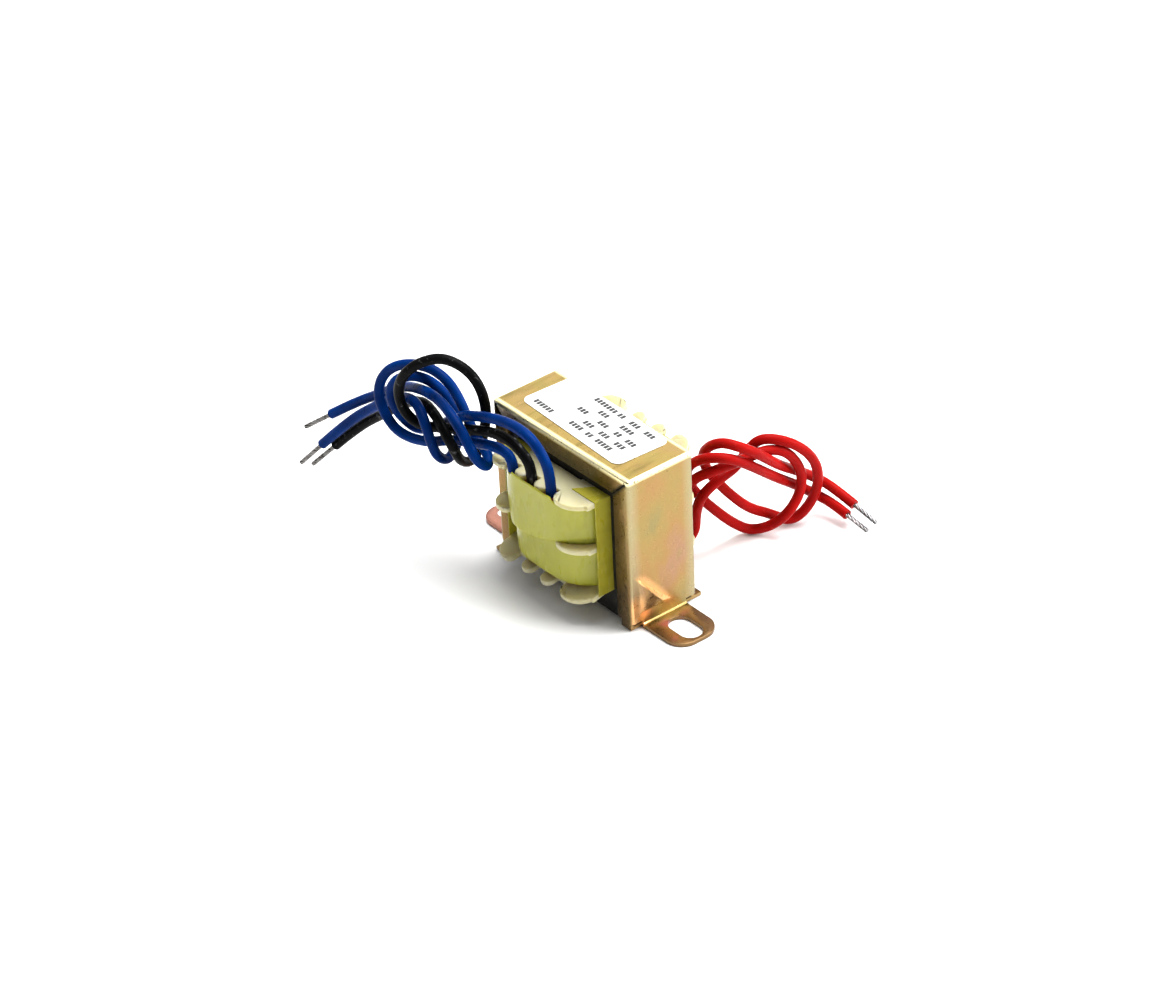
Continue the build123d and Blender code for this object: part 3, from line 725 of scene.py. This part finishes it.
# %% [markdown]
# ## The stack of core sheets
#
# The core is a pack of half-millimetre silicon-steel sheets, blued by heat and nearly black at
# the cut edges. Twenty-six thin plates could be modelled one by one, and the solids do have
# them, so they stay as they are and only get a finish. A gloss that changes from sheet to sheet
# and a little rust-brown here and there keep the edges from looking like one block.

# %% Core finish
SHEET_PITCH = 0.5 * MM


def core_steel():
    material = new_material("blued_core_steel")
    tree = material.node_tree
    place = object_place(tree)
    per_sheet = speckle(tree, object_place(tree, (8, 1 / SHEET_PITCH, 8)), 1.0, 1)
    scale = speckle(tree, place, 800, 4, 0.6)
    return finish_surface(material, {
        "Base Color": ramp(tree, scale, (0.3, (0.005, 0.005, 0.006)),
                           (0.6, (0.016, 0.015, 0.013)), (0.8, (0.035, 0.025, 0.017))),
        "Metallic": 0.6,
        "Roughness": varied(tree, per_sheet, 0.4, 0.62),
        "Normal": bump(tree, scale, 0.00005, 0.4),
    })


def refinish(name, material):
    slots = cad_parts[name].data.materials
    slots.clear()
    slots.append(material)


blued = core_steel()
for name in ("e_laminations", "i_laminations"):
    refinish(name, blued)
print("core nodes finished with", blued.name)

# %% [markdown]
# ## The nylon bobbin
#
# The bobbin is moulded in natural nylon, milky and slightly see-through, so light leaks through
# its thin cheeks and their edges look warm and pale. Subsurface scattering gives that glow. The
# shape comes from the solid, and its edges get a moulded rounding.

# %% Bobbin
def natural_nylon():
    material = new_material("natural_nylon")
    tree = material.node_tree
    place = object_place(tree)
    cloud = speckle(tree, place, 160, 3)
    fine = speckle(tree, place, 1800, 3)
    return finish_surface(material, {
        "Base Color": ramp(tree, cloud, (0.3, (0.41, 0.38, 0.22)),
                           (0.7, (0.49, 0.455, 0.275))),
        "Roughness": varied(tree, fine, 0.32, 0.46),
        "IOR": 1.53,
        "Subsurface Weight": 0.9,
        "Subsurface Radius": (0.003, 0.0027, 0.0018),
        "Subsurface Scale": 1.0,
        "Normal": bump(tree, fine, 0.00003, 0.25),
    })


BOBBIN_EDGE = 0.2 * MM
nylon = natural_nylon()
moulded_bobbin = soften(finished_copy(merged_copy("bobbin"), "moulded_bobbin"), BOBBIN_EDGE, 3)
stands_for(moulded_bobbin, nylon, "nylon", "bobbin")
print("bobbin faces", len(moulded_bobbin.data.polygons))

# %% [markdown]
# ## The copper windings
#
# Under the film lie hundreds of turns of enamelled copper wire. They show only as a glimpse of
# brown through the bobbin's notches, so the wound solids stay, and a bump with one ridge for
# each turn makes their sides read as wire.

# %% Winding finish
WIRE_RADIUS = 0.15 * MM


def enamelled_copper():
    material = new_material("enamelled_copper")
    tree = material.node_tree
    place = node(tree, "ShaderNodeTexCoord").outputs["Object"]
    height = node(tree, "ShaderNodeSeparateXYZ", {"Vector": place}).outputs["Z"]
    turns = maths(tree, "PINGPONG", height, WIRE_RADIUS)
    shade = speckle(tree, object_place(tree, (60, 60, 3300)), 1.0, 2)
    return finish_surface(material, {
        "Base Color": ramp(tree, shade, (0.3, (0.22, 0.07, 0.025)), (0.7, (0.42, 0.16, 0.06))),
        "Metallic": 0.8,
        "Roughness": varied(tree, shade, 0.25, 0.4),
        "Normal": bump(tree, turns, 1.0, 0.6),
    })


copper = enamelled_copper()
for name in ("secondary_winding", "primary_winding"):
    refinish(name, copper)
print("windings finished with", copper.name)

# %% [markdown]
# ## The yellow film round the coils
#
# Each coil is wrapped in a few turns of thin yellow polyester film. Film pulled round a soft
# coil never lies flat: it bulges a little, its edges wander, and it shows faint creases. A strip
# is made here as a grid that follows a rounded rectangle, with its lower and upper edge given
# by small rules and a slow wave of noise pushed along the surface, and Solidify gives it a body.
# A thin inner turn lies under the upper strip and hides the wire where the strip's edge climbs.
# At the rear, where the top cheek is bent up, its upper edge is turned in over the coil. The
# strips at the coil's ends keep the solids' shape and get a browner, darker yellow: the browner
# tone is their double layer, the darker tone is painted shade.

# %% Film finish
def wrapping_film(name, deep, plain, pale):
    material = new_material(name)
    tree = material.node_tree
    layers = speckle(tree, object_place(tree, (1, 1, 2.2)), 110, 3, 0.55)
    crinkle = speckle(tree, object_place(tree, (1, 1, 0.35)), 420, 3, 0.5)
    return finish_surface(material, {
        "Base Color": ramp(tree, layers, (0.25, deep), (0.5, plain), (0.75, pale)),
        "Roughness": varied(tree, crinkle, 0.22, 0.36),
        "IOR": 1.6,
        "Specular IOR Level": 0.25,
        "Subsurface Weight": 0.25,
        "Subsurface Radius": (0.0009, 0.0009, 0.0003),
        "Subsurface Scale": 1.0,
        "Normal": bump(tree, crinkle, 0.0002, 0.4),
    })


film = wrapping_film("yellow_film", (0.365, 0.355, 0.03), (0.39, 0.385, 0.034),
                     (0.42, 0.415, 0.045))
# The end strips are browner for their double layer and darker with painted shade.
end_film = wrapping_film("aged_end_film", (0.3, 0.265, 0.022), (0.36, 0.32, 0.03),
                         (0.42, 0.38, 0.045))
print("film finishes", film.name, end_film.name)

# %% A loop round a coil
FILM_STEPS = 288
CORNER_STEPS = 40
COIL_CORNER = 8.5
INNER_HALVES = (11.82, 13.77)
UPPER_HALVES = (11.87, 13.82)
LOWER_HALVES = (11.85, 12.25)


def round_loop(half_x, half_y):
    """Points and outward directions round a rounded rectangle, from its front right corner on."""
    x, y = half_x - COIL_CORNER, half_y - COIL_CORNER
    dense = []
    for middle, start in (((x, -y, 0), -90), ((x, y, 0), 0), ((-x, y, 0), 90), ((-x, -y, 0), 180)):
        for step in range(CORNER_STEPS + 1):
            turn = math.radians(start + 90 * step / CORNER_STEPS)
            out = Vector((math.cos(turn), math.sin(turn), 0))
            dense.append((Vector(middle) + out * COIL_CORNER, out))
    reached = [0.0]
    for (first, _), (second, _) in zip(dense, dense[1:] + dense[:1]):
        reached.append(reached[-1] + (second - first).length)
    loop = []
    index = 0
    for step in range(FILM_STEPS):
        reach = reached[-1] * step / FILM_STEPS
        while reached[index + 1] < reach:
            index += 1
        share = (reach - reached[index]) / (reached[index + 1] - reached[index])
        (near, out), (far, far_out) = dense[index], dense[(index + 1) % len(dense)]
        loop.append((near.lerp(far, share), out.lerp(far_out, share).normalized()))
    return loop


inner_loop, upper_loop, lower_loop = (
    round_loop(*halves) for halves in (INNER_HALVES, UPPER_HALVES, LOWER_HALVES))
print("steps round a coil", len(upper_loop))

# %% Strips of film
FILM_ROWS = 22
FOLD_ROWS = 8
WAVE_ROUND, WAVE_UP = 0.22, 0.3
LEAST_FOLD, FOLD_RUN, FOLD_LIFT = 0.2, 2.5, 0.12
FOLD_WAVE, FOLD_SEED = 0.5, 1.7


def smooth(value):
    value = min(max(value, 0.0), 1.0)
    return value * value * (3 - 2 * value)


def film_piece(name, columns, closed, thickness):
    """A thin body on a grid of columns; the last column meets the first when closed."""
    shape = bmesh.new()
    rows = [[shape.verts.new(place * MM) for place in column] for column in columns]
    for near, far in zip(rows, rows[1:] + (rows[:1] if closed else [])):
        for corners in zip(near, far, far[1:], near[1:]):
            shape.faces.new(corners)
    mesh = bpy.data.meshes.new(name)
    shape.to_mesh(mesh)
    shape.free()
    piece = place_on_stage(bpy.data.objects.new(name, mesh))
    body = piece.modifiers.new("film_body", "SOLIDIFY")
    body.thickness = thickness
    body.offset = 1
    mesh.shade_smooth()
    return piece


def wrap_film(name, loop, low_edge, high_edge, bulge, waviness, seed, thickness):
    columns = []
    for point, out in loop:
        low, high = low_edge(point), high_edge(point)
        column = []
        for row in range(FILM_ROWS + 1):
            share = row / FILM_ROWS
            height = low + (high - low) * share
            wave = noise.noise(Vector((point.x * WAVE_ROUND, point.y * WAVE_ROUND,
                                       height * WAVE_UP + seed)))
            push = bulge * math.sin(math.pi * share) + waviness * (wave + 0.5)
            column.append(point + out * push + Vector((0, 0, height)))
        columns.append(column)
    return film_piece(name, columns, True, thickness)


def fold_film(name, loop, level, start, width, thickness):
    """The upper edge of a strip, turned in over its coil where the loop lies behind start."""
    columns = []
    for point, out in loop:
        if point.y > start:
            reach = LEAST_FOLD + width * smooth((point.y - start) / FOLD_RUN)
            wave = noise.noise(Vector((point.x * FOLD_WAVE, point.y * FOLD_WAVE, FOLD_SEED)))
            lift = FOLD_LIFT * (wave + 1)
            inner = Vector((0, 0, lift)) - out * reach
            columns.append([point + Vector((0, 0, level)) + inner * (row / FOLD_ROWS)
                            for row in range(FOLD_ROWS + 1)])
    return film_piece(name, columns, False, thickness)


print("rows on a strip", FILM_ROWS, "and on the folded edge", FOLD_ROWS)

# %% Wrap the coils
FILM_BODY = 0.1 * MM
THIN_FILM = 0.03 * MM
UPPER_LOW, UPPER_HIGH = 15.98, 24.05
LOWER_LOW, LOWER_HIGH = 6.75, 14.85
SAG = 13.9


def upper_low_edge(point):
    """Lowest at the left of the front, climbing to the right; the rear is turned half round."""
    x = point.x if point.y < 0 else -point.x
    if x < -6:
        return SAG + 2.1 * smooth((-6.2 - x) / 1.2)
    return SAG + 3.3 * smooth((x + 3.5) / 15.5)


def upper_high_edge(point):
    """A short lap of film stands up outside the notches at the front."""
    lap = smooth((point.x + 5.7) / 0.4) * smooth((5.6 - point.x) / 0.5)
    return UPPER_HIGH + (0.85 * lap if point.y < 0 else 0.0)


inner_turn = wrap_film("upper_inner_turn", inner_loop, lambda p: UPPER_LOW, lambda p: UPPER_HIGH,
                       bulge=0.0, waviness=0.0, seed=0.0, thickness=THIN_FILM)
upper_film = wrap_film("upper_film", upper_loop, upper_low_edge, upper_high_edge,
                       bulge=0.08, waviness=0.05, seed=3.1, thickness=FILM_BODY)
stands_for(upper_film, film, "yellow_tape", "upper_tape_band")
lower_film = wrap_film("lower_film", lower_loop, lambda p: LOWER_LOW, lambda p: LOWER_HIGH,
                       bulge=0.2, waviness=0.06, seed=7.7, thickness=FILM_BODY)
stands_for(lower_film, film, "yellow_tape", "lower_tape_band")
folded_edge = fold_film("upper_folded_edge", inner_loop, level=24.13, start=8.6, width=5.0,
                        thickness=THIN_FILM)
for piece in (inner_turn, folded_edge):
    piece.data.materials.append(film)
    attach(piece, "root")
print("film faces", [len(piece.data.polygons)
                     for piece in (inner_turn, upper_film, lower_film, folded_edge)])

# %% End strips of film
for name in ("right_end_tape", "left_end_tape"):
    refinish(name, end_film)
print("end strips finished with", end_film.name)

# %% [markdown]
# ## The label
#
# A white paper sticker lies on the top plate, slightly askew, with round corners and a faint
# paper tooth. Five lines of small print and a short one at the left end are shown as words of
# plain dark blocks. They are boxes sunk to their middle, which stand a hundredth of a millimetre
# above the paper, since ink has next to no height, and they share the sticker's turn.

# %% Label finish
def sticker_paper():
    material = new_material("sticker_paper")
    tree = material.node_tree
    place = object_place(tree)
    tooth = speckle(tree, place, 2500, 4, 0.6)
    cloud = speckle(tree, place, 120, 3)
    return finish_surface(material, {
        "Base Color": ramp(tree, cloud, (0.3, (0.8, 0.8, 0.78)), (0.7, (0.86, 0.86, 0.85))),
        "Roughness": varied(tree, tooth, 0.45, 0.6),
        "Normal": bump(tree, tooth, 0.00004, 0.3),
    })


paper = sticker_paper()
refinish("label", paper)
print("label finished")

# %% Blocks of print
LABEL_TOP = 31.12
LABEL_TURN = math.radians(-3)
BLOCK_PITCH = 0.86
BLOCK_WIDTH = 0.72
BLOCK_HEIGHT = 1.15
INK_DEPTH = 0.02
PRINT_ROWS = {
    5.5: [(-6.0, 7), (0.6, 2), (3.9, 3), (8.1, 3)],
    3.5: [(-2.3, 3), (3.9, 4)],
    1.5: [(-5.6, 3), (0.2, 3), (4.8, 2), (8.0, 3)],
    -0.4: [(-1.4, 3), (3.0, 3), (7.4, 3)],
    -2.3: [(-2.9, 4), (1.7, 2), (4.5, 5)],
    -2.8: [(-12.5, 6)],
}


def dark_ink():
    material = new_material("dark_ink")
    tree = material.node_tree
    patchy = speckle(tree, object_place(tree), 1800, 3)
    return finish_surface(material, {
        "Base Color": ramp(tree, patchy, (0.35, (0.006, 0.006, 0.007)),
                           (0.7, (0.03, 0.03, 0.032))),
        "Roughness": varied(tree, patchy, 0.45, 0.6),
    })


def print_blocks():
    mesh = bpy.data.meshes.new("label_print")
    shape = bmesh.new()
    turn = Matrix.Rotation(LABEL_TURN, 4, "Z")
    size = Matrix.Diagonal((BLOCK_WIDTH * MM, BLOCK_HEIGHT * MM, INK_DEPTH * MM, 1))
    for y, words in PRINT_ROWS.items():
        for start, count in words:
            for index in range(count):
                middle = Vector((start + BLOCK_PITCH * (index + 0.5), y, LABEL_TOP)) * MM
                bmesh.ops.create_cube(shape, size=1,
                                      matrix=turn @ Matrix.Translation(middle) @ size)
    shape.to_mesh(mesh)
    shape.free()
    piece = place_on_stage(bpy.data.objects.new("label_print", mesh))
    piece.data.materials.append(dark_ink())
    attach(piece, "root")
    return piece


label_print = print_blocks()
print("blocks of print", len(label_print.data.polygons) // 6)

# %% [markdown]
# ## The floor
#
# The part stands on a wide, flat sheet of white paper, a hair below its feet so that the two
# don't fight for the same place. The sheet is lit until it burns out to white, as in a catalogue
# picture, so a shadow shows only where it is deep. The Standard view keeps that white clean,
# where a film-like view would turn it grey.

# %% Paper floor
FLOOR_HALF = 2.5
FLOOR_DROP = 0.05 * MM


def white_sweep():
    material = new_material("white_sweep")
    tree = material.node_tree
    cloud = speckle(tree, object_place(tree), 6, 2)
    return finish_surface(material, {
        "Base Color": ramp(tree, cloud, (0.3, (0.93, 0.93, 0.93)), (0.7, (0.95, 0.95, 0.95))),
        "Roughness": 0.9,
        "Specular IOR Level": 0.1,
    })


floor_mesh = bpy.data.meshes.new("paper_sweep")
sheet = bmesh.new()
bmesh.ops.create_grid(sheet, x_segments=24, y_segments=24, size=FLOOR_HALF)
bmesh.ops.translate(sheet, verts=sheet.verts, vec=(0, 0, -FLOOR_DROP))
sheet.to_mesh(floor_mesh)
sheet.free()
floor_mesh.materials.append(white_sweep())
paper_sweep = place_on_stage(bpy.data.objects.new("paper_sweep", floor_mesh))
bpy.context.scene.view_settings.view_transform = "Standard"
print("floor", 2 * FLOOR_HALF, "m wide")

# %% [markdown]
# ## The light
#
# A large soft light hangs overhead, a little behind the part, and a smaller one stands at the
# rear right, so the shadow falls to the front left. Plated steel shows its surroundings more
# than its own colour, so three faint discs stand where the plate, the legs and the front fold
# mirror them. The room itself is dim near the floor and brighter above, which keeps the shadow
# under the coils dark.

# %% Room and lights
AIM = Vector((0, 0, 0.015))
ROOM_LOW, ROOM_HIGH, ROOM_RISE = 0.08, 0.28, 0.8

world = bpy.data.worlds.new("white_room")
world.use_nodes = True
sky = world.node_tree
sky.nodes.clear()
outlook = node(sky, "ShaderNodeTexCoord").outputs["Generated"]
rise = node(sky, "ShaderNodeSeparateXYZ", {"Vector": outlook}).outputs["Z"]
glow = span(sky, rise, ROOM_LOW, ROOM_HIGH, 0.0, ROOM_RISE)
backdrop = node(sky, "ShaderNodeBackground", {"Color": (1, 1, 1, 1), "Strength": glow})
node(sky, "ShaderNodeOutputWorld", {"Surface": backdrop.outputs[0]})
bpy.context.scene.world = world


def soft_light(name, place, size, power):
    lamp = bpy.data.lights.new(name, "AREA")
    lamp.shape = "DISK"
    lamp.size = size
    lamp.energy = power
    thing = place_on_stage(bpy.data.objects.new(name, lamp))
    thing.location = place
    thing.rotation_euler = (AIM - Vector(place)).to_track_quat("-Z", "Y").to_euler()


soft_light("key", (0.0, 0.3, 0.95), size=0.8, power=19)
soft_light("side", (0.6, 0.55, 0.4), size=0.6, power=9)
soft_light("plate_card", (-0.5, 0.4, 0.45), size=0.5, power=1.3)
soft_light("rear_card", (0.2, 0.75, 0.16), size=0.5, power=1.5)
soft_light("left_card", (-0.55, -0.22, 0.5), size=0.3, power=0.8)
